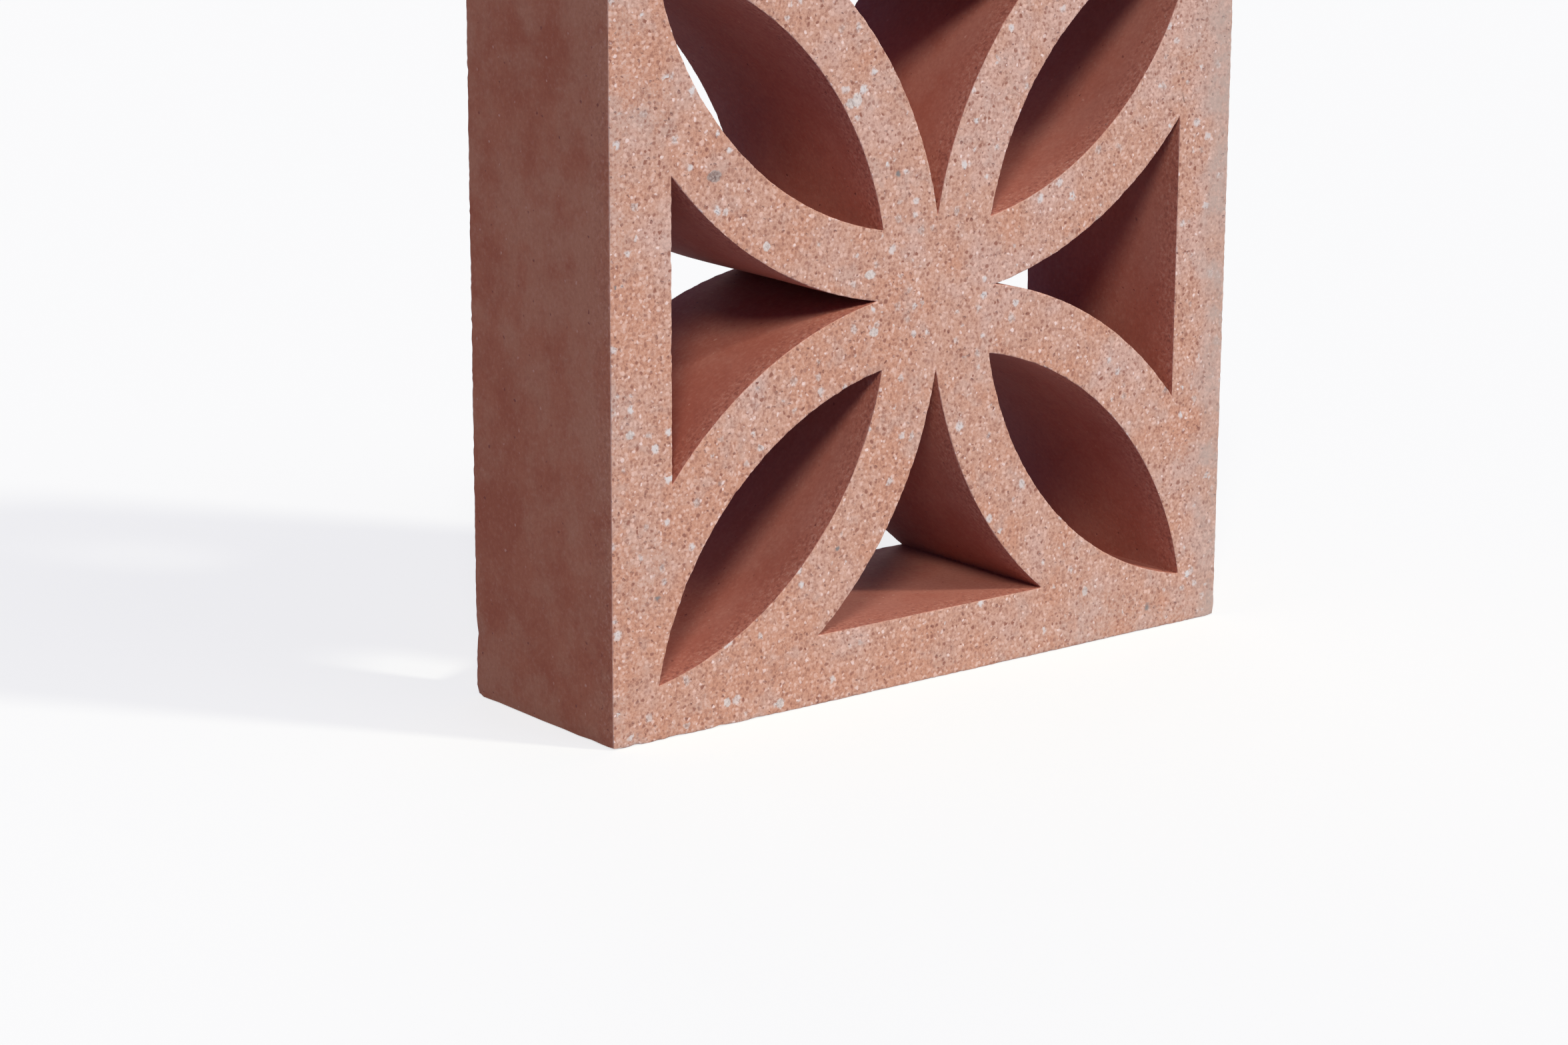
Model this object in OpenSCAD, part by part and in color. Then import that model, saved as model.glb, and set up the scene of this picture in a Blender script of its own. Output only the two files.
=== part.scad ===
// Breeze block: a square pierced concrete screen block, cast in one piece.
// The front face looks along -Y and the block stands on its bottom face at z = 0.
// Four lens-shaped petals lie on the diagonals. Curved ribs part them from four
// openings with hollow sides, each of which has its straight side on the outer frame.

/* [Block] */
// Side of the square face
block_side = 305; // [240:1:400]
// Depth of the block, front to back
block_depth = 89; // [60:1:150]

/* [Ribs] */
// Width of the frame beside each straight-sided opening
frame_w = 27.5; // [18:0.5:36]
// Width of the curved ribs between the openings
rib_w = 27; // [18:0.5:34]

/* [Petals] */
// Greatest width of a petal, across the diagonal
petal_w = 45; // [30:1:56]
// From the middle of the face to a petal's inner tip, along the diagonal
core_gap = 38; // [30:1:48]
// From a petal's outer tip to the corner of the face, along the diagonal
corner_gap = 30; // [22:1:40]

/* [Casting] */
// Draft of the opening walls, in degrees: each opening widens towards the back
draft_angle = 0.5; // [0:0.25:1.5]

/* [Hidden] */
$fn = 96;

cut_over = 5;
half_side = block_side / 2;
draft_slope = tan(draft_angle);

// A petal is the lens between two equal arcs that meet at its tips.
petal_len = half_side * sqrt(2) - core_gap - corner_gap;
petal_mid = core_gap + petal_len / 2;
petal_r = (petal_len * petal_len / 4 + petal_w * petal_w / 4) / petal_w;

// The arcs' centres stand off the diagonal, one beyond each neighbouring side of the block.
centre_off = petal_r - petal_w / 2;
centre_near = (petal_mid - centre_off) / sqrt(2);
centre_far = (petal_mid + centre_off) / sqrt(2);

// Along a rib the petal's arc and the next opening's arc share their centre.
rib_r = petal_r + rib_w;

// A round cutter along Z through the block's depth. Its radius is r at z = 0, the front,
// and grows by slope for each millimetre towards the back.
module drafted_round(r, slope) {
    translate([0, 0, -cut_over])
        cylinder(
            h = block_depth + 2 * cut_over,
            r1 = r - cut_over * slope,
            r2 = r + (block_depth + cut_over) * slope
        );
}

// The lens on the diagonal between +X and +Y.
module petal_opening() {
    intersection() {
        translate([centre_near, centre_far, 0])
            drafted_round(petal_r, draft_slope);
        translate([centre_far, centre_near, 0])
            drafted_round(petal_r, draft_slope);
    }
}

// The opening beside the +X frame: a straight drafted wall there, and a rib's arc
// above and below that meet in a tip towards the middle.
module side_opening() {
    difference() {
        intersection() {
            translate([0, -half_side, -cut_over])
                cube([half_side, block_side, block_depth + 2 * cut_over]);
            translate([half_side - frame_w, -block_side, 0])
                rotate([0, draft_angle, 0])
                    translate([-block_side, 0, -block_depth])
                        cube([block_side, 2 * block_side, 3 * block_depth]);
        }
        for (side = [-1, 1])
            translate([centre_near, side * centre_far, 0])
                drafted_round(rib_r, -draft_slope);
    }
}

// The block lying on its back, front face down at z = 0, centred on the Z axis.
module pierced_slab() {
    difference() {
        translate([-half_side, -half_side, 0])
            cube([block_side, block_side, block_depth]);
        for (quarter = [0:3])
            rotate([0, 0, 90 * quarter]) {
                petal_opening();
                side_opening();
            }
    }
}

module block() {
    color([0.78, 0.62, 0.54])
        translate([0, -block_depth / 2, half_side])
            rotate([-90, 0, 0])
                pierced_slab();
}

block();
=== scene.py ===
import math

import bmesh
import bpy
import numpy as np
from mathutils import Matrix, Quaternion, Vector


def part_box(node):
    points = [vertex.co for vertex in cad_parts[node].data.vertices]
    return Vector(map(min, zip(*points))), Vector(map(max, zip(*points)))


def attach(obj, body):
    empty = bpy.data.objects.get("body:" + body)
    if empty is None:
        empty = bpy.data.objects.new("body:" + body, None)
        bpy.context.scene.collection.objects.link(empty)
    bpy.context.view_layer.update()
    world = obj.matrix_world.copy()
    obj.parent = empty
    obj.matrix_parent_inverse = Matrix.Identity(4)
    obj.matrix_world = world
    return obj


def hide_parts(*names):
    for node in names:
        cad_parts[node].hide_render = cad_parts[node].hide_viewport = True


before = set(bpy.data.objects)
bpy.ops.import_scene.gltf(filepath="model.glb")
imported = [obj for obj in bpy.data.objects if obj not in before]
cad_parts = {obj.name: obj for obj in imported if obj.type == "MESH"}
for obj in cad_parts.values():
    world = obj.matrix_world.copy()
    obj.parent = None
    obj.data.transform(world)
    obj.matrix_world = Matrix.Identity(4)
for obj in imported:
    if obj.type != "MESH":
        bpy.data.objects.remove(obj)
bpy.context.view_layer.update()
print("frame loaded")

# Everything below is in metres, in the frame of the block: x to the right along the face,
# y from the front face to the back, z up from the floor.
mm = 0.001
lowCorner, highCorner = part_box("block")
halfSide = (highCorner.x - lowCorner.x) / 2
depth = highCorner.y - lowCorner.y
frontY = lowCorner.y
middleZ = (lowCorner.z + highCorner.z) / 2


def latticeValue(ix, iy, iz, seed):
    # a repeatable value from -1 to 1 for each whole-number lattice point: the point's numbers
    # and the seed are each multiplied by a large odd number, added, and their bits mixed
    h = ix * 374761393 + iy * 668265263 + iz * 1442695041 + seed * 974634777
    h = (h ^ (h >> 13)) * 1274126177 & 0x7FFFFFFF
    h = (h ^ (h >> 16)) & 0xFFFF
    return h / 32767.5 - 1


def smoothNoise(points, size, seed):
    # value noise from -1 to 1: the lattice values at the eight corners of each cell of the given
    # size, blended by 3t^2 - 2t^3 along each axis
    scaled = points / size
    cell = np.floor(scaled).astype(np.int64)
    t = scaled - cell
    t = t * t * (3 - 2 * t)
    total = np.zeros(points.shape[:-1])
    for corner in np.ndindex(2, 2, 2):
        weight = np.ones(points.shape[:-1])
        for axis in range(3):
            weight = weight * (t[..., axis] if corner[axis] else 1 - t[..., axis])
        ix, iy, iz = (cell[..., axis] + corner[axis] for axis in range(3))
        total += weight * latticeValue(ix, iy, iz, seed)
    return total


block = {
    "frameWidth": 27.5 * mm,      # frame beside a straight-sided opening
    "ribWidth": 27 * mm,          # curved ribs
    "petalWidth": 45 * mm,        # petal across the diagonal
    "coreGap": 38 * mm,           # middle of the face to a petal's inner tip
    "cornerGap": 30 * mm,         # petal's outer tip to the corner of the face
    "draft": math.tan(math.radians(0.5)),
    "petalColumns": 140,          # mesh columns along one side of a petal
    "hubColumns": 9,              # of them, from the middle of the face to the first rib
    "arcColumns": 98,             # along one curved side of a side opening
    "straightColumns": 58,        # along half of its straight side
    "crossColumns": 8,            # across the frame at the end of a rib
    "collar": 2.2 * mm,           # close rows beside every opening's edge
    "collarSpare": 0.15 * mm,     # left of that collar behind the deepest wear
    "inset": 3 * mm,              # close rows along the outer edges
    "wallRows": (.02, .045, .09, .16, .25, .36, .5, .64, .75, .84, .91, .955, .98),
    "faceRows": (1, .6, .3),      # rows between a rib's middle line and the collar
    "arrisSteps": 3,
    "weld": 0.01 * mm,            # points nearer than this become one
}

petalLength = halfSide * math.sqrt(2) - block["coreGap"] - block["cornerGap"]
petalMiddle = block["coreGap"] + petalLength / 2
petalRadius = (petalLength ** 2 + block["petalWidth"] ** 2) / (4 * block["petalWidth"])
centreOff = petalRadius - block["petalWidth"] / 2
centreNear = (petalMiddle - centreOff) / math.sqrt(2)
centreFar = (petalMiddle + centreOff) / math.sqrt(2)
ribRadius = petalRadius + block["ribWidth"]


def petalArc(t, grow):
    # lower right side of the petal in the first quadrant, t from 0 at its inner tip to 1 at
    # its outer tip: an arc about (centreNear, centreFar) whose radius is widened by grow,
    # between the two places where it meets the diagonal
    radius = petalRadius + grow
    middle = (centreNear + centreFar) / 2
    reach = np.sqrt(radius ** 2 / 2 - ((centreFar - centreNear) / 2) ** 2)
    start = np.arctan2(middle - reach - centreFar, middle - reach - centreNear)
    end = np.arctan2(middle + reach - centreFar, middle + reach - centreNear)
    angle = start + (end - start) * t
    return np.stack([centreNear + radius * np.cos(angle), centreFar + radius * np.sin(angle)], -1)


def ribArc(t, grow):
    # upper curved side of the opening on the right, t from 0 at its tip to 1 at the frame:
    # the same centre, with the rib's radius narrowed by grow and the frame set back by grow
    radius = ribRadius - grow
    wall = halfSide - block["frameWidth"] + grow
    tip = np.sqrt(radius ** 2 - centreFar ** 2)
    start = np.arctan2(-centreFar, tip)
    end = -np.arccos((wall - centreNear) / radius)
    angle = start + (end - start) * t
    return np.stack([centreNear + radius * np.cos(angle), centreFar + radius * np.sin(angle)], -1)


def mirrored(points):
    # the same curve on the other side of the diagonal
    return points[..., ::-1]


def petalLoop(grow):
    # round the petal: out along its lower right side and back along the upper left one
    n = block["petalColumns"]
    grow = np.broadcast_to(grow, (2 * n,))
    t = np.arange(n) / n
    return np.concatenate([petalArc(t, grow[:n]), mirrored(petalArc(1 - t, grow[n:]))])


def sideLoop(grow):
    # round the opening on the right: from its tip along the upper curve, straight down the
    # frame with even steps, and back along the lower curve, which is the upper one mirrored
    arc, straight = block["arcColumns"], block["straightColumns"]
    grow = np.broadcast_to(grow, (2 * (arc + straight),))
    upper = ribArc(np.arange(arc) / arc, grow[:arc])
    middle = grow[arc:arc + 2 * straight]
    top = ribArc(np.ones(2 * straight), middle)
    top[:, 1] *= 1 - np.arange(2 * straight) / straight
    lower = ribArc(1 - np.arange(arc) / arc, grow[arc + 2 * straight:]) * (1, -1)
    return np.concatenate([upper, top, lower])


def line(start, end, count):
    # count equal steps from start towards end, without end: start (1 - t) + end t
    t = np.arange(count)[:, None] / count
    return np.asarray(start) * (1 - t) + np.asarray(end) * t


ribTurn = block["arcColumns"] - block["hubColumns"]
ribSteps = np.arange(block["petalColumns"] + 1) / block["petalColumns"]
ribMiddle = petalArc(ribSteps, block["ribWidth"] / 2)
ribEnd = ribMiddle[ribTurn]
insetSide = halfSide - block["inset"]
crossEnd = np.array([insetSide, ribEnd[1]])


def sideCellEdge():
    # where the face round the right opening meets its neighbours: from the middle of the face
    # along the diagonal, along the rib's middle line, across the frame, and down the inset edge
    half = np.concatenate([
        line((0, 0), ribMiddle[0], block["hubColumns"]),
        ribMiddle[:ribTurn],
        line(ribEnd, crossEnd, block["crossColumns"]),
        line(crossEnd, (insetSide, 0), block["straightColumns"] - block["crossColumns"]),
        [(insetSide, 0)],
    ])
    return np.concatenate([half, (half[1:-1] * (1, -1))[::-1]])


def quarterTurn(points, quarter):
    # exact turn by quarter right angles in the plane of the face: (x, z) becomes (-z, x)
    for _ in range(quarter):
        points = np.stack([-points[..., 1], points[..., 0]], -1)
    return points


# How far each edge is worn back.
wear = {
    "openingEdge": 0.46 * mm,     # where the ground face meets an opening's wall
    "outerEdge": 0.65 * mm,       # outside edges of the block
    "crumb": 0.75,                # share by which the wear comes and goes
    "crumbSize": 1.5 * mm,
    "chip": 0.5 * mm,             # extra depth of a rare chip
    "chipSize": 3.2 * mm,
    "chipStart": 0.5,             # noise above this makes a chip
    "thinnest": 0.12 * mm,
    "deepest": 1.25 * mm,
}


def wornWidth(loop, y, base, seed):
    # width of the worn arris at each column: the base, more or less by fine noise, and deeper
    # where coarse noise peaks
    points = np.stack([loop[:, 0], np.full(len(loop), y), loop[:, 1]], -1)
    fine = smoothNoise(points, wear["crumbSize"], seed)
    coarse = smoothNoise(points, wear["chipSize"], seed + 1)
    chips = np.clip(coarse - wear["chipStart"], 0, 1) * wear["chip"] / (1 - wear["chipStart"])
    return np.clip(base * (1 + wear["crumb"] * fine) + chips, wear["thinnest"], wear["deepest"])


def arrisRows(outline, growAt, width, ySide, turn):
    # a quarter circle of radius width from the face round into the wall: out from the wall by
    # width (1 - sin), behind the face by width (1 - cos); the ground share falls with the angle
    rows = []
    for angle in turn:
        grow = width * (1 - math.sin(angle))
        back = width * (1 - math.cos(angle))
        rows.append((outline(growAt + grow), ySide(back), 1 - angle / (math.pi / 2)))
    return rows


quarterAngles = np.linspace(0, math.pi / 2, block["arrisSteps"] + 1)


def sweep(outline, faceEdge, frontWear, backWear, collar, slope):
    # profile carried round an outline: face, collar, arris, wall, arris, collar, back face;
    # rows are (points in the plane of the face, distance behind the front, ground share)
    backGrow = slope * depth
    rows = []
    if faceEdge is not None:
        rim = outline(collar)
        rows += [(faceEdge * share + rim * (1 - share), 0, 1) for share in block["faceRows"]]
    rows.append((outline(collar), 0, 1))
    rows.append((outline((collar + frontWear) / 2), 0, 1))
    rows += arrisRows(outline, 0, frontWear, lambda back: back, quarterAngles)
    rows += [(outline(slope * share * depth), share * depth, 0) for share in block["wallRows"]]
    rows += arrisRows(outline, backGrow, backWear, lambda back: depth - back, quarterAngles[::-1])
    rows.append((outline((collar + backGrow + backWear) / 2), depth, 0))
    rows.append((outline(collar), depth, 0))
    if faceEdge is not None:
        rows += [(faceEdge * share + rim * (1 - share), depth, 0)
                 for share in block["faceRows"][::-1]]
    return rows


class GridStack:
    # grids of points: row i, column j is joined by a quad to row i + 1 and column j + 1
    def __init__(self):
        self.points, self.quads, self.ground, self.outer, self.count = [], [], [], [], 0

    def add(self, xz, y, ground, closed, flip=False, outer=1.0):
        rows, columns = xz.shape[:2]
        y = np.broadcast_to(np.asarray(y), (rows, columns))
        grid = np.stack([xz[..., 0], frontY + y, middleZ + xz[..., 1]], -1)
        index = np.arange(rows * columns).reshape(rows, columns) + self.count
        nextIndex = np.roll(index, -1, axis=1)
        if not closed:
            index, nextIndex = index[:, :-1], nextIndex[:, :-1]
        quads = np.stack([index[:-1], nextIndex[:-1], nextIndex[1:], index[1:]], -1).reshape(-1, 4)
        self.points.append(grid.reshape(-1, 3))
        self.quads.append(quads[:, ::-1] if flip else quads)
        self.ground.append(np.broadcast_to(np.asarray(ground), (rows, columns)).ravel())
        self.outer.append(np.full(rows * columns, outer))
        self.count += rows * columns

    def addRows(self, rows, quarter, flip=False, outer=0.0):
        xz = quarterTurn(np.array([row[0] for row in rows]), quarter)
        y = np.array([np.broadcast_to(row[1], len(row[0])) for row in rows])
        ground = np.clip([[2 * row[2] - 0.4] for row in rows], 0, 1)  # the arris looks mostly cast
        self.add(xz, y, ground, closed=True, flip=flip, outer=outer)


def outerLoop(outset):
    # the square outline set in by outset, with the columns of the face inside it: up the right
    # side from its middle, then round the other sides in quarter turns
    edge = halfSide - outset
    upper = np.concatenate([
        line((insetSide, 0), crossEnd, block["straightColumns"] - block["crossColumns"]),
        line(crossEnd, (insetSide, insetSide), block["petalColumns"] - ribTurn),
    ])
    lower = np.concatenate([upper[1:], [(insetSide, insetSide)]])[::-1] * (1, -1)
    side = np.concatenate([lower, upper])
    loop = np.concatenate([quarterTurn(side, quarter) for quarter in range(4)])
    onEdge = np.abs(loop) > insetSide - 1e-9
    return np.where(onEdge, np.sign(loop) * np.reshape(edge, (-1, 1)), loop)


def buildBlock():
    # each petal and each side opening is a profile carried round its outline, turned about the
    # middle to its quarter; flat patches fill the corners and a last sweep makes the outside
    stack = GridStack()
    deepestBack = block["collar"] - block["draft"] * depth - block["collarSpare"]
    for quarter in range(4):
        seed = 10 + 20 * quarter  # four edges to a quarter, each with two seeds of its own
        turned = quarterTurn(petalLoop(0.0), quarter)
        stack.addRows(sweep(
            petalLoop, petalLoop(block["ribWidth"] / 2),
            wornWidth(turned, frontY, wear["openingEdge"], seed),
            np.minimum(wornWidth(turned, -frontY, wear["openingEdge"], seed + 4), deepestBack),
            block["collar"], block["draft"]), quarter)
        turned = quarterTurn(sideLoop(0.0), quarter)
        stack.addRows(sweep(
            sideLoop, sideCellEdge(),
            wornWidth(turned, frontY, wear["openingEdge"], seed + 8),
            np.minimum(wornWidth(turned, -frontY, wear["openingEdge"], seed + 12), deepestBack),
            block["collar"], block["draft"]), quarter, flip=True)
        # between a rib's middle line and the inset corner, on either side of the diagonal
        corner = (insetSide, insetSide)
        edgePart = np.concatenate([line(crossEnd, corner, block["petalColumns"] - ribTurn), [corner]])
        share = np.arange(block["crossColumns"] + 1)[:, None, None] / block["crossColumns"]
        patch = ribMiddle[ribTurn:] * (1 - share) + edgePart * share
        for reflected in (False, True):
            xz = quarterTurn(mirrored(patch) if reflected else patch, quarter)
            stack.add(xz, 0.0, 1.0, closed=False, flip=not reflected)
            stack.add(xz, depth, 0.0, closed=False, flip=reflected)
    loop = outerLoop(0.0)
    stack.addRows(sweep(
        outerLoop, None,
        wornWidth(loop, frontY, wear["outerEdge"], 101),
        wornWidth(loop, -frontY, wear["outerEdge"], 105),
        block["inset"], 0.0), 0, flip=True, outer=1.0)
    return stack


def meshFrom(name, stack):
    # the grids' points and quads as one mesh, with points that fall together welded
    points = np.concatenate(stack.points)
    quads = np.concatenate(stack.quads)
    mesh = bpy.data.meshes.new(name)
    mesh.vertices.add(len(points))
    mesh.vertices.foreach_set("co", points.astype(np.float32).ravel())
    mesh.loops.add(quads.size)
    mesh.loops.foreach_set("vertex_index", quads.astype(np.int32).ravel())
    mesh.polygons.add(len(quads))
    mesh.polygons.foreach_set("loop_start", np.arange(0, quads.size, 4, dtype=np.int32))
    mesh.update(calc_edges=True)
    for label, values in (("ground", stack.ground), ("outer", stack.outer)):
        layer = mesh.attributes.new(label, "FLOAT", "POINT")
        layer.data.foreach_set("value", np.concatenate(values).astype(np.float32))
    work = bmesh.new()
    work.from_mesh(mesh)
    bmesh.ops.remove_doubles(work, verts=work.verts, dist=block["weld"])
    work.to_mesh(mesh)
    openEdges = sum(1 for edge in work.edges if not edge.is_contiguous)
    volume = work.calc_volume(signed=True)
    work.free()
    print(f"{name}: {len(mesh.vertices)} points, {2 * len(mesh.polygons)} triangles, "
          f"{openEdges} open edges, volume {volume * 1000:.3f} litres")
    return mesh


# Unevenness; everything moves inward, so the block keeps its size.
edgeSide, edgeFace = halfSide / mm, depth / 2 / mm
relief = {
    "wave": 0.16 * mm,            # slow unevenness of the moulded faces
    "waveSize": 26 * mm,
    "ripple": 0.07 * mm,
    "rippleSize": 6 * mm,
    "faceShare": 0.1,             # share of both that the ground face keeps
    "grit": 0.10 * mm,            # sandy unevenness beside the worn edges
    "gritSize": 1.7 * mm,
    "gritReach": 2 * mm,
    "gritFaceShare": 0.4,
    "cornerRadius": 1.3 * mm,     # upright and level corners of the outline
    "cornerVary": 0.4,
    "cornerSize": 4 * mm,
    "knockVary": 0.25,            # raggedness of the knocks
    "knockSize": 3 * mm,
    "knockFall": 2.2,
    # knocks: x, y, z of the middle, reach, depth, all in millimetres from the block's middle
    "knocks": (
        (-edgeSide, -edgeFace, -edgeSide, 4.5, 0.55),
        (-142, -edgeFace, -edgeSide, 3.0, 0.6),
        (-124, -edgeFace, -edgeSide, 6.0, 0.5),
        (-103, -edgeFace, -edgeSide, 3.5, 0.6),
        (-86, -edgeFace, -edgeSide, 3.0, 0.4),
        (-edgeSide, -28, -edgeSide, 4.0, 0.6),
        (-edgeSide, -10, -edgeSide, 3.0, 0.5),
        (-edgeSide, edgeFace, -edgeSide, 4.0, 0.9),
        (-edgeSide, edgeFace, -128, 7.0, 0.7),
        (edgeSide, -edgeFace, -edgeSide, 3.5, 0.4),
        (edgeSide, edgeFace, -edgeSide, 7.0, 2.0),
        (edgeSide, edgeFace, edgeSide, 8.0, 2.4),
        (-edgeSide, edgeFace, edgeSide, 6.0, 1.4),
        (60, edgeFace, edgeSide, 7.0, 1.2),
        (edgeSide, edgeFace, 20, 6.0, 1.1),
    ),
}


def roundedCorners(points):
    # in each corner square of the outline, points further than the radius from the square's
    # inner corner are pulled back onto that circle; the radius comes and goes with noise
    vary = relief["cornerVary"] * smoothNoise(points, relief["cornerSize"], 7)
    radius = relief["cornerRadius"] * (1 + vary)
    inner = (halfSide - radius)[:, None]
    across = np.stack([points[:, 0], points[:, 2] - middleZ], -1)
    away = np.abs(across) - inner
    inCorner = (away > 0).all(1)
    size = np.linalg.norm(away, axis=1)
    pull = np.where(inCorner & (size > radius), radius / np.maximum(size, 1e-9), 1)
    moved = np.sign(across) * (inner + away * pull[:, None])
    rounded = points.copy()
    rounded[:, 0] = np.where(inCorner, moved[:, 0], points[:, 0])
    rounded[:, 2] = np.where(inCorner, moved[:, 1] + middleZ, points[:, 2])
    return rounded


def sinkDepth(points, ground):
    # slow waves and ripples, hardly any on the ground face, plus grit that fades out from the
    # front and back edges as exp(-distance / reach)
    wave = 0.5 + 0.5 * smoothNoise(points, relief["waveSize"], 1)
    ripple = 0.5 + 0.5 * smoothNoise(points, relief["rippleSize"], 2)
    sink = (relief["wave"] * wave + relief["ripple"] * ripple) * (1 - (1 - relief["faceShare"]) * ground)
    edgeDistance = np.minimum(points[:, 1] - frontY, -frontY - points[:, 1])
    nearEdge = np.exp(-edgeDistance / relief["gritReach"]) * (1 - (1 - relief["gritFaceShare"]) * ground)
    return sink + relief["grit"] * nearEdge * (0.5 + 0.5 * smoothNoise(points, relief["gritSize"], 3))


def knocked(points):
    # each knock pushes points inward by depth times exp(-fall d^2), with d the distance from
    # its middle in reaches, made ragged by noise
    for x, y, z, reach, push in relief["knocks"]:
        centre = np.array([x, y, z]) * mm + (0, 0, middleZ)
        distance = np.linalg.norm(points - centre, axis=1) / (reach * mm)
        distance = distance * (1 + relief["knockVary"] * smoothNoise(points, relief["knockSize"], 4))
        share = np.exp(-relief["knockFall"] * distance ** 2)
        atEdge = (abs(x) == edgeSide, True, abs(z) == edgeSide)  # along x and z only from an edge
        inward = np.where(atEdge, -np.sign([x, y, z]), 0)
        inward = inward / np.linalg.norm(inward)
        points = points + inward * (push * mm * share)[:, None]
    return points


def applyRelief(mesh):
    # corners rounded, then every point sunk along its normal, then the knocks
    count = len(mesh.vertices)
    points = np.empty(count * 3, np.float32)
    mesh.vertices.foreach_get("co", points)
    points = points.reshape(-1, 3).astype(float)
    normals = np.empty(count * 3, np.float32)
    mesh.vertex_normals.foreach_get("vector", normals)
    normals = normals.reshape(-1, 3).astype(float)
    ground = np.empty(count, np.float32)
    mesh.attributes["ground"].data.foreach_get("value", ground)
    points = roundedCorners(points)
    points = knocked(points - normals * sinkDepth(points, ground)[:, None])
    points = np.clip(points, np.array(lowCorner), np.array(highCorner))
    mesh.vertices.foreach_set("co", points.astype(np.float32).ravel())
    mesh.update()


stack = buildBlock()
blockMesh = meshFrom("blockBody", stack)
applyRelief(blockMesh)
blockMesh.polygons.foreach_set("use_smooth", [True] * len(blockMesh.polygons))
blockMesh.set_sharp_from_angle(angle=math.radians(50))
blockBody = bpy.data.objects.new("blockBody", blockMesh)
bpy.context.scene.collection.objects.link(blockBody)
print("block built")


class Signal:
    # a node's output socket that adds, multiplies and so on like a number
    def __init__(self, finish, socket):
        self.finish, self.socket = finish, socket

    def math(self, operation, *values):
        # one Math node; the operators below each add one
        return self.finish.node("ShaderNodeMath", {"operation": operation}, values)[0]

    def __add__(self, other):
        return self.math("ADD", self, other)

    def __radd__(self, other):
        return self.math("ADD", other, self)

    def __sub__(self, other):
        return self.math("SUBTRACT", self, other)

    def __rsub__(self, other):
        return self.math("SUBTRACT", other, self)

    def __mul__(self, other):
        return self.math("MULTIPLY", self, other)

    def __rmul__(self, other):
        return self.math("MULTIPLY", other, self)

    def __gt__(self, other):
        return self.math("GREATER_THAN", self, other)

    def __lt__(self, other):
        return self.math("LESS_THAN", self, other)

    def most(self, other):
        return self.math("MAXIMUM", self, other)

    def ramp(self, start, end):
        # 0 at start, 1 at end, eased at both by 3t^2 - 2t^3
        return self.finish.node("ShaderNodeMapRange", {"interpolation_type": "SMOOTHSTEP"},
                                {"Value": self, "From Min": start, "From Max": end})[0]


class Finish:
    # the nodes of one material or sky
    def __init__(self, owner):
        owner.use_nodes = True
        self.tree = owner.node_tree
        self.tree.nodes.clear()

    def node(self, kind, settings=None, values=()):
        # any node: its settings first, then its sockets by name or by place
        made = self.tree.nodes.new(kind)
        for key, value in (settings or {}).items():
            setattr(made, key, value)
        pairs = values.items() if isinstance(values, dict) else enumerate(values)
        for key, value in pairs:
            if isinstance(value, Signal):
                self.tree.links.new(value.socket, made.inputs[key])
            elif value is not None:
                made.inputs[key].default_value = value
        return [Signal(self, output) for output in made.outputs if output.enabled]

    def mix(self, factor, first, second, blend="MIX"):
        # colours by the Mix node; its sockets 6 and 7 are the two colours
        made = self.node("ShaderNodeMix", {"data_type": "RGBA", "blend_type": blend}, {0: factor})[0]
        mixNode = made.socket.node
        for index, value in ((6, first), (7, second)):
            if isinstance(value, Signal):
                self.tree.links.new(value.socket, mixNode.inputs[index])
            else:
                mixNode.inputs[index].default_value = (*value, 1)
        return Signal(self, mixNode.outputs[2])

    def vector(self, operation, *values):
        # colours and vectors by the Vector Math node
        return self.node("ShaderNodeVectorMath", {"operation": operation}, values)[0]

    def scaled(self, vector, factor):
        return self.node("ShaderNodeVectorMath", {"operation": "SCALE"}, {0: vector, "Scale": factor})[0]

    def noise(self, vector, size, detail=2.0, roughness=0.5):
        # Blender's noise, about 0.5 on the whole, with features of the given size
        return self.node("ShaderNodeTexNoise", None, {
            "Vector": vector, "Scale": 1 / size, "Detail": detail, "Roughness": roughness})[0]

    def relief(self, height):
        # a bump from a height in millimetres
        return self.node("ShaderNodeBump", None, {
            "Strength": concrete["bumpStrength"], "Distance": mm, "Height": height})[0]

    def cells(self, vector, size, dimensions="3D"):
        # distance to the nearest cell point in cell sizes, and three random numbers of the cell
        distance, colour = self.node("ShaderNodeTexVoronoi", {"voronoi_dimensions": dimensions}, {
            "Vector": vector, "Scale": 1 / size})[:2]
        return [distance] + self.node("ShaderNodeSeparateColor", None, [colour])


def linear(red, green, blue):
    # screen values from 0 to 255 to the light they stand for: ((v + 0.055) / 1.055) ^ 2.4
    return tuple(((v / 255 + 0.055) / 1.055) ** 2.4 if v > 10 else v / 255 / 12.92
                 for v in (red, green, blue))


concrete = {
    "specular": 0.3,
    "bumpStrength": 0.8,
    "shakeSize": 2.0,                      # features and reach of the warp that makes grains
    "shakeReach": 2.0,                     # uneven, in millimetres
}

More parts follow.
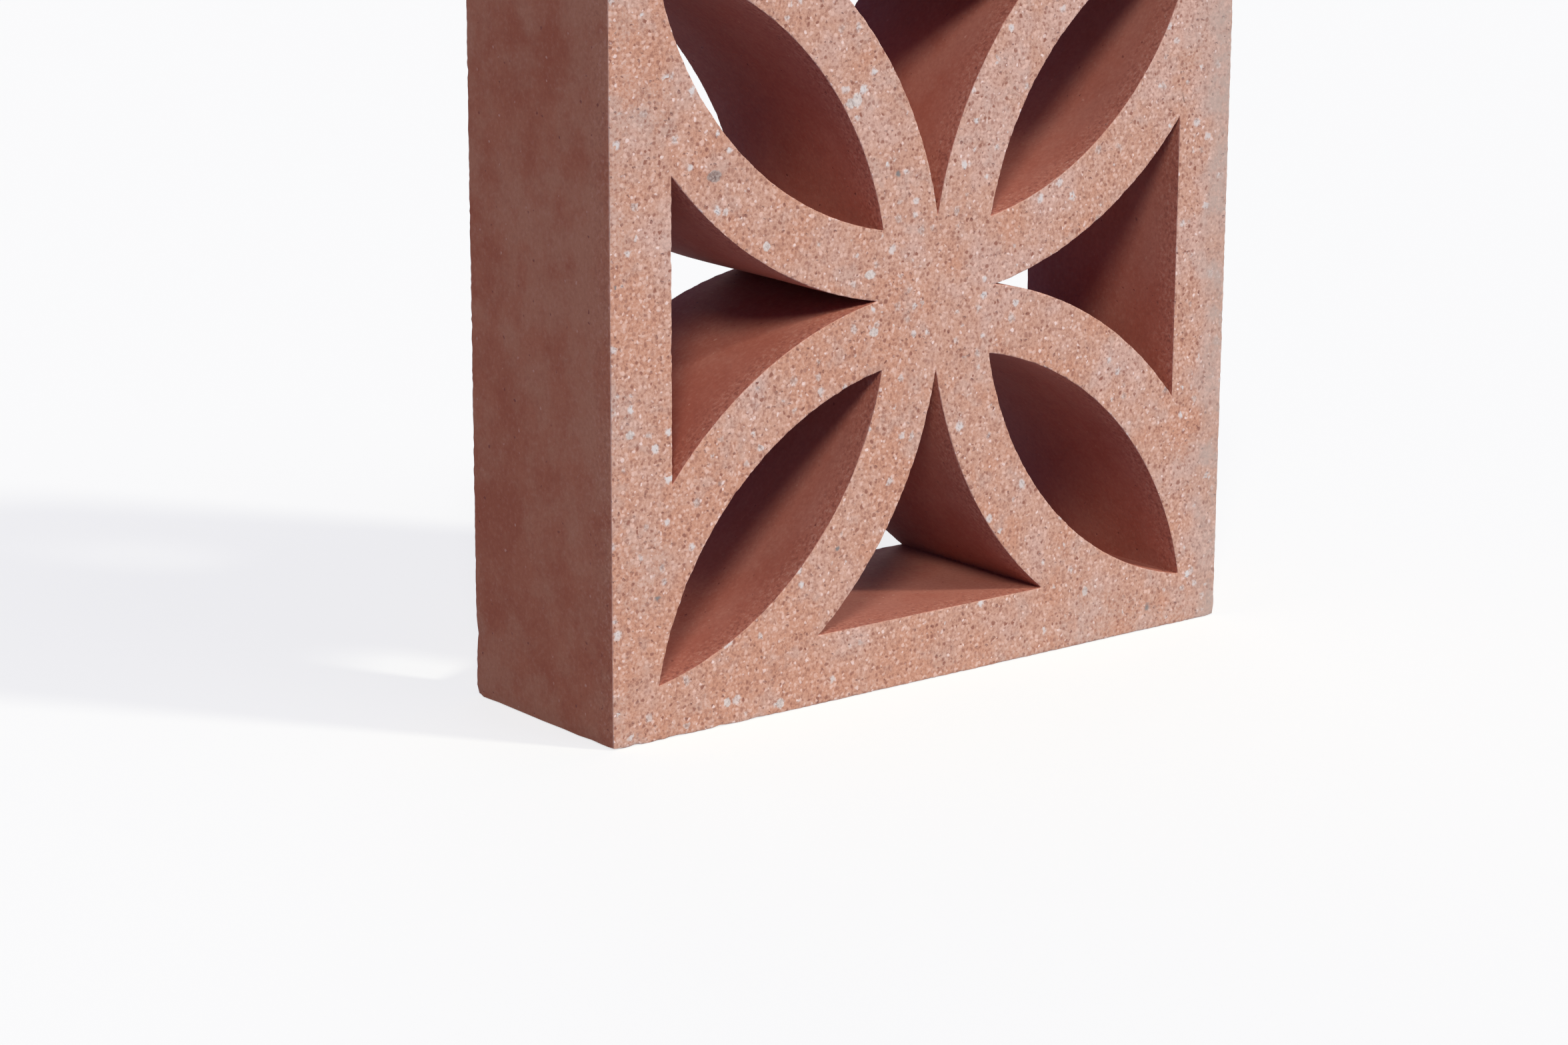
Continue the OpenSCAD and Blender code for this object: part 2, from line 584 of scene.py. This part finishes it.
groundFace = {
    "warm": linear(194, 142, 112),         # paste between the grains, in three slow tints
    "plain": linear(194, 148, 121),
    "grey": linear(197, 158, 136),
    "grainPale": linear(219, 180, 156),
    "grainDeep": linear(146, 96, 76),
    "haze": linear(191, 164, 146),         # pale dusty patches
    "spark": linear(234, 207, 189),        # small bright grains
    "speck": linear(120, 66, 54),          # small dark grains and pores
    "worn": linear(180, 157, 139),         # dusty grey beside the outer edges
    "chipLight": linear(212, 205, 193),    # cut stone chips
    "chipGrey": linear(146, 137, 127),
    "chipDark": linear(120, 115, 108),
    "tintSize": 30,                        # sizes in millimetres
    "crowdSize": 13,
    "gritSize": 1.1,
    "grainSize": 2.1,
    "speckSize": 2.5,
    "chipSize": 5.6,
    "drift": 0.00040,                      # change of tint for each millimetre up and right
    "driftMiddle": 130.0,
    "roughness": 0.86,
    "chipPolish": 0.2,                     # by which the cut chips are smoother
    "marginStart": 137.0,                  # dusty right-hand margin, from the middle of the block
    "marginEnd": 151.0,
    "stonePale": linear(217, 205, 189),
    "stoneDark": linear(129, 108, 96),
    # the largest cut stones: place right of the middle and up from the bed, width and height
    # in millimetres, then how pale the stone is, from 0 to 1
    "stones": (
        (-106, 207, 6.6, 4.2, 0.08),
        (-40, 229, 5.0, 5.2, 0.85),
        (-43, 228, 4.2, 4.0, 0.65),
        (-33, 163, 5.8, 3.4, 0.85),
        (-31, 141, 4.6, 3.6, 0.8),
        (-75, 4, 3.8, 4.2, 0.8),
        (80, 22, 3.0, 3.8, 0.8),
        (-144, 117, 3.8, 3.4, 0.75),
        (-82, 179, 3.6, 3.6, 0.8),
        (-100, 9, 3.2, 3.8, 0.8),
    ),
}

castFace = {
    "red": linear(160, 88, 67),
    "brown": linear(173, 104, 82),
    "grey": linear(180, 121, 100),
    "front": linear(181, 110, 84),         # walls just behind the face
    "outer": (0.92, 0.95, 0.74),           # the outside faces are a little darker
    "pit": linear(112, 54, 46),
    "speck": linear(204, 157, 132),
    "wallMottle": 0.5,                     # share of the outside's clouds seen on the walls
    "cloudSize": 30,                       # sizes in millimetres
    "driftSize": 20,
    "slowSize": 90,
    "grainSize": 1.6,
    "speckSize": 3.4,
    "frontReach": 16.0,                    # depth of the rougher stretch behind the face
    "roughness": 0.74,
    "cloudRoughness": 0.2,                 # by which the pale clouds are rougher
}


def grindFinish(finish, place, offset, ground, outer):
    # paste colour: a slow noise, rising to the upper right, runs from warm through plain to grey;
    # what is added to a place or a grid here and below only keeps two patterns apart
    look = groundFace
    right, _, up = finish.node("ShaderNodeSeparateXYZ", None, [place])
    flat = finish.node("ShaderNodeCombineXYZ", None, [right, up])[0]
    flatWarped = finish.vector("ADD", flat, offset)
    tint = finish.noise(place, look["tintSize"], 3, 0.6) + (right + up - look["driftMiddle"]) * look["drift"]
    colour = finish.mix(tint.ramp(0.40, 0.52), look["warm"], look["plain"])
    colour = finish.mix(tint.ramp(0.52, 0.66), colour, look["grey"])

    # pale dusty patches where a middling noise is high
    crowd = finish.noise(finish.vector("ADD", place, (50, 0, 20)), look["crowdSize"], 3, 0.65)
    colour = finish.mix(crowd.ramp(0.52, 0.70) * 0.45, colour, look["haze"])

    # sand: a fine noise runs from deep through the paste's own colour to pale
    grit = finish.noise(place, look["gritSize"], 2, 0.6)
    colour = finish.mix((grit - 0.5).ramp(0.0, 0.2) * 0.50, colour, look["grainPale"])
    colour = finish.mix((0.5 - grit).ramp(0.0, 0.2) * 0.60, colour, look["grainDeep"])

    # grains: a ragged disc in each cell, pale in four of ten and deep in another four
    grainDistance, grainTone, grainPick, grainSize = finish.cells(flatWarped, look["grainSize"], "2D")
    grains = (0.20 + 0.24 * grainSize + 0.3 * (grit - 0.5) - grainDistance).ramp(-0.12, 0.18)
    paleGrains = grains * (grainPick > 0.6)
    deepGrains = grains * (grainPick < 0.4)
    colour = finish.mix(paleGrains * (0.35 + 0.65 * grainTone), colour, look["grainPale"])
    colour = finish.mix(deepGrains * (0.3 + 0.8 * grainTone * grainTone), colour, look["grainDeep"])

    # specks: in one cell of seven a bright grain, in one of nine a dark one
    shifted = finish.vector("ADD", flatWarped, (9, 4, 0))
    speckDistance, speckTone, speckPick, speckSize = finish.cells(shifted, look["speckSize"], "2D")
    discs = (0.12 + 0.16 * speckSize - speckDistance).ramp(-0.06, 0.10)
    sparks = discs * (speckPick > 0.86)
    specks = discs * (speckPick < 0.11)
    colour = finish.mix(sparks * (0.35 + 0.6 * speckTone), colour, look["spark"])
    colour = finish.mix(specks * (0.15 + 0.5 * speckTone), colour, look["speck"])

    # stone chips: slightly ragged discs in some of the larger cells, more in the dusty patches
    chipPlace = finish.vector("ADD", flatWarped, (31, 7, 0))
    chipDistance, chipTone, chipPick, chipSize = finish.cells(chipPlace, look["chipSize"], "2D")
    ragged = 0.12 + 0.24 * chipSize + 0.4 * (grit - 0.5) - chipDistance
    chips = ragged.ramp(-0.08, 0.18) * (chipPick > (1.17 - 0.62 * crowd))
    chipShade = chipTone + 3.2 * (grit - 0.5)
    chipColour = finish.mix(chipShade.ramp(-0.2, 0.7), look["chipGrey"], look["chipLight"])
    chipColour = finish.mix(chipTone > 0.95, chipColour, look["chipDark"])
    colour = finish.mix(chips * (0.35 + 0.6 * chipTone), colour, chipColour)

    # the largest stones have places of their own: ovals, 1 at the edge by the length of the
    # scaled way from the middle, with edge and colour made uneven by the sand
    for stoneRight, stoneUp, stoneWidth, stoneHeight, pale in look["stones"]:
        away = finish.vector("SUBTRACT", flat, (stoneRight, stoneUp, 0))
        scaledAway = finish.vector("DIVIDE", away, (stoneWidth / 2, stoneHeight / 2, 1))
        inside = 1.06 + 0.9 * (grit - 0.5) - finish.vector("LENGTH", scaledAway)
        stone = finish.mix(pale + 1.5 * (grit - 0.5), look["stoneDark"], look["stonePale"])
        colour = finish.mix(inside.ramp(-0.1, 0.25) * 0.9, colour, stone)

    # painted highlight: paler where the face turns into a wall, by 4 g (1 - g) of the ground value g,
    # standing in for the light that the rounded arris catches;
    # dusty grey in places along the outside edges, and all down the right-hand margin
    rim = 4 * ground * (1 - ground)
    patch = (tint + 0.8 * (grit - 0.5)).ramp(0.46, 0.60) * outer * (rim + 0.4)
    reach = right + 30 * (tint - 0.5) + 6 * (grit - 0.5)
    margin = reach.ramp(look["marginStart"], look["marginEnd"])
    # painted highlight: the arris band is mixed towards the pale grain colour
    colour = finish.mix(rim * 0.5, colour, look["grainPale"])
    dust = margin * (0.34 + 0.4 * crowd.ramp(0.42, 0.60)) * (1.9 - 1.8 * grit)
    colour = finish.mix((patch * 0.6).most(dust), colour, look["worn"])

    # relief in millimetres: grains stand a little proud, dark specks are open pores
    height = 0.12 * grit + 0.05 * paleGrains + 0.05 * sparks - 0.25 * specks - 0.04 * deepGrains
    bump = finish.relief(height)
    return finish.node("ShaderNodeBsdfPrincipled", None, {
        "Base Color": colour, "Roughness": look["roughness"] - look["chipPolish"] * chips,
        "Normal": bump, "Specular IOR Level": concrete["specular"]})[0]


def castFinish(finish, place, warped, outer):
    # near is 1 at the front edge and falls to 0 at the end of the rougher stretch
    look = castFace
    across = finish.node("ShaderNodeSeparateXYZ", None, [place])[1]
    near = (frontY / mm + look["frontReach"] - across).ramp(0.0, look["frontReach"])
    flecks = near * (1 - 0.6 * outer)
    mottle = look["wallMottle"] + (1 - look["wallMottle"]) * outer

    # cloudy body: a noise of many octaves between red and brown, a second one towards grey
    cloud = finish.noise(place, look["cloudSize"], 5, 0.74)
    drift = finish.noise(finish.vector("ADD", place, (5, 60, 30)), look["driftSize"], 5, 0.66)
    slow = 0.3 * (finish.noise(finish.vector("ADD", place, (90, 10, 0)), look["slowSize"], 1) - 0.5)
    shade = 0.5 + ((cloud + slow).ramp(0.36, 0.62) - 0.5) * mottle
    colour = finish.mix(shade, look["red"], look["brown"])
    colour = finish.mix((drift + slow).ramp(0.36, 0.66) * 0.75 * mottle, colour, look["grey"])
    colour = finish.mix(near * (1 - outer) * 0.6, colour, look["front"])
    colour = finish.mix(outer, colour, look["outer"], "MULTIPLY")

    # reddish grain, strongest close behind the face
    grain = finish.noise(warped, look["grainSize"], 2, 0.6)
    colour = finish.mix((0.5 - grain).ramp(0.02, 0.14) * (0.12 + 0.4 * flecks), colour, look["pit"])
    colour = finish.mix((grain - 0.5).ramp(0.04, 0.16) * (0.10 + 0.35 * flecks), colour, look["speck"])

    # small dark pits and pale grains in cells of their own, many more close behind the face
    pitPlace = finish.vector("ADD", warped, (2, 41, 19))
    pitDistance, pitTone, pitPick, pitSize = finish.cells(pitPlace, look["speckSize"])
    disc = (0.08 + 0.12 * pitSize - pitDistance).ramp(-0.04, 0.08)
    pits = disc * (pitPick > (0.84 - 0.2 * flecks))
    grains = disc * (pitPick < (0.12 + 0.1 * flecks))
    colour = finish.mix(pits * (0.3 + 0.5 * pitTone), colour, look["pit"])
    colour = finish.mix(grains * (0.15 + 0.5 * pitTone), colour, look["speck"])
    height = 0.40 * cloud + 0.08 * grain - 0.18 * pits + 0.05 * grains
    bump = finish.relief(height)
    return finish.node("ShaderNodeBsdfPrincipled", None, {
        "Base Color": colour, "Roughness": look["roughness"] + look["cloudRoughness"] * cloud,
        "Normal": bump, "Specular IOR Level": concrete["specular"]})[0]


def concreteFinish():
    # ground and cast looks mixed by the mesh's own ground value; lengths in millimetres
    material = bpy.data.materials.new("castConcrete")
    finish = Finish(material)
    position = finish.node("ShaderNodeTexCoord")[3]  # Object coordinates
    ground = finish.node("ShaderNodeAttribute", {"attribute_name": "ground"})[2]
    outer = finish.node("ShaderNodeAttribute", {"attribute_name": "outer"})[2]
    place = finish.scaled(position, 1 / mm)
    shake = finish.node("ShaderNodeTexNoise", None, {
        "Vector": place, "Scale": 1 / concrete["shakeSize"], "Detail": 2.0})[1]
    offset = finish.scaled(finish.vector("SUBTRACT", shake, (0.5, 0.5, 0.5)), concrete["shakeReach"])
    warped = finish.vector("ADD", place, offset)
    shader = finish.node("ShaderNodeMixShader", None, {
        0: ground,
        1: castFinish(finish, place, warped, outer),
        2: grindFinish(finish, place, offset, ground, outer)})[0]
    finish.node("ShaderNodeOutputMaterial", None, {"Surface": shader})
    return material


blockBody.data.materials.append(concreteFinish())
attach(blockBody, "root")
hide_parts("block")
print("concrete finished")


# Floor, background, lights and camera.
studio = {
    "floorSize": 8.0,
    "floorLines": 9,                         # points along each side of the floor's grid
    "floorColour": (0.38, 0.42, 0.54),
    "floorSeen": (1.0, 1.0, 0.85),           # what the camera sees of its colour
    "floorGlow": 0.72,                       # share of plain white the camera sees in it
    "skyStrength": 0.10,
    "skyColour": (0.24, 0.26, 2.4),
}

# each lamp: the way its light travels, strength, spread in degrees, colour
lamps = {
    "keyLamp": ((-1.0, 1.34, -1.0), 2.1, 6.0, (1.0, 1.0, 0.94)),
    "softLamp": ((-0.26, 0.72, -0.64), 0.46, 28.0, (1.0, 1.0, 1.0)),
    "sideLamp": ((0.49, 0.59, -0.64), 1.72, 14.0, (1.0, 1.0, 1.0)),
    "backLamp": ((-0.75, -1.0, -0.30), 0.55, 40.0, (1.0, 1.0, 1.0)),
}


def seenDirectly(finish):
    # 1 for the camera, for gloss and for glass, otherwise 0: the most of the three path values
    path = {signal.socket.name: signal for signal in finish.node("ShaderNodeLightPath")}
    return path["Is Camera Ray"].most(path["Is Glossy Ray"]).most(path["Is Transmission Ray"])


def floorFinish():
    # a matt floor: its own colour for the light it throws back, a whiter one where it is seen
    material = bpy.data.materials.new("paleFloor")
    finish = Finish(material)
    seen = seenDirectly(finish)
    colour = finish.mix(seen, studio["floorColour"], studio["floorSeen"])
    matt = finish.node("ShaderNodeBsdfDiffuse", None, {"Color": colour})[0]
    white = finish.node("ShaderNodeEmission", None, {"Color": (1, 1, 1, 1), "Strength": 1.0})[0]
    glow = seen * studio["floorGlow"]
    shader = finish.node("ShaderNodeMixShader", None, {0: glow, 1: matt, 2: white})[0]
    finish.node("ShaderNodeOutputMaterial", None, {"Surface": shader})
    return material


def buildFloor():
    # a flat grid: x and y run over the floor's size and z is the block's lowest height
    count = studio["floorLines"]
    span = np.linspace(-studio["floorSize"] / 2, studio["floorSize"] / 2, count)
    x, y = np.meshgrid(span, span)
    points = np.stack([x, y, np.full_like(x, lowCorner.z)], -1).reshape(-1, 3)
    index = np.arange(count * count).reshape(count, count)
    quads = np.stack([index[:-1, :-1], index[:-1, 1:], index[1:, 1:], index[1:, :-1]], -1)
    mesh = bpy.data.meshes.new("studioFloor")
    mesh.from_pydata(points.tolist(), [], quads.reshape(-1, 4).tolist())
    floor = bpy.data.objects.new("studioFloor", mesh)
    bpy.context.scene.collection.objects.link(floor)
    floor.data.materials.append(floorFinish())


def buildSky():
    # white where it is seen, a weak cool light everywhere else
    sky = bpy.data.worlds.new("studioSky")
    bpy.context.scene.world = sky
    finish = Finish(sky)
    light = finish.node("ShaderNodeBackground", None, {
        "Color": (*studio["skyColour"], 1), "Strength": studio["skyStrength"]})[0]
    white = finish.node("ShaderNodeBackground", None, {"Color": (1, 1, 1, 1), "Strength": 1.0})[0]
    shader = finish.node("ShaderNodeMixShader", None, {0: seenDirectly(finish), 1: light, 2: white})[0]
    finish.node("ShaderNodeOutputWorld", None, {"Surface": shader})


def buildLamps():
    # suns, each turned so that its light travels along its direction
    for name, (direction, strength, spread, colour) in lamps.items():
        lamp = bpy.data.lights.new(name, "SUN")
        lamp.energy = strength
        lamp.angle = math.radians(spread)
        lamp.color = colour
        holder = bpy.data.objects.new(name, lamp)
        holder.rotation_euler = Vector(direction).to_track_quat("-Z", "Y").to_euler()
        bpy.context.scene.collection.objects.link(holder)


view = {
    "place": (-0.9298, -1.1272, 0.4239),     # metres
    "aim": (-0.0383, 0.0, 0.0596),
    "roll": -0.228,                          # degrees
    "lens": 87.83,                           # millimetres, on a sensor this wide
    "sensor": 36.0,
}


def buildCamera():
    # looks from its place to its aim, then turned by the roll about its own line of sight
    camera = bpy.data.cameras.new("mainCamera")
    camera.lens = view["lens"]
    camera.sensor_width = view["sensor"]
    camera.sensor_fit = "HORIZONTAL"
    camera.clip_start = 0.05
    holder = bpy.data.objects.new("mainCamera", camera)
    holder.location = view["place"]
    direction = Vector(view["aim"]) - Vector(view["place"])
    roll = Quaternion((0, 0, 1), -math.radians(view["roll"]))
    holder.rotation_mode = "QUATERNION"
    holder.rotation_quaternion = direction.to_track_quat("-Z", "Y") @ roll
    bpy.context.scene.collection.objects.link(holder)
    bpy.context.scene.camera = holder


buildFloor()
buildSky()
buildLamps()
buildCamera()
bpy.context.scene.view_settings.view_transform = "Standard"
print("studio set")
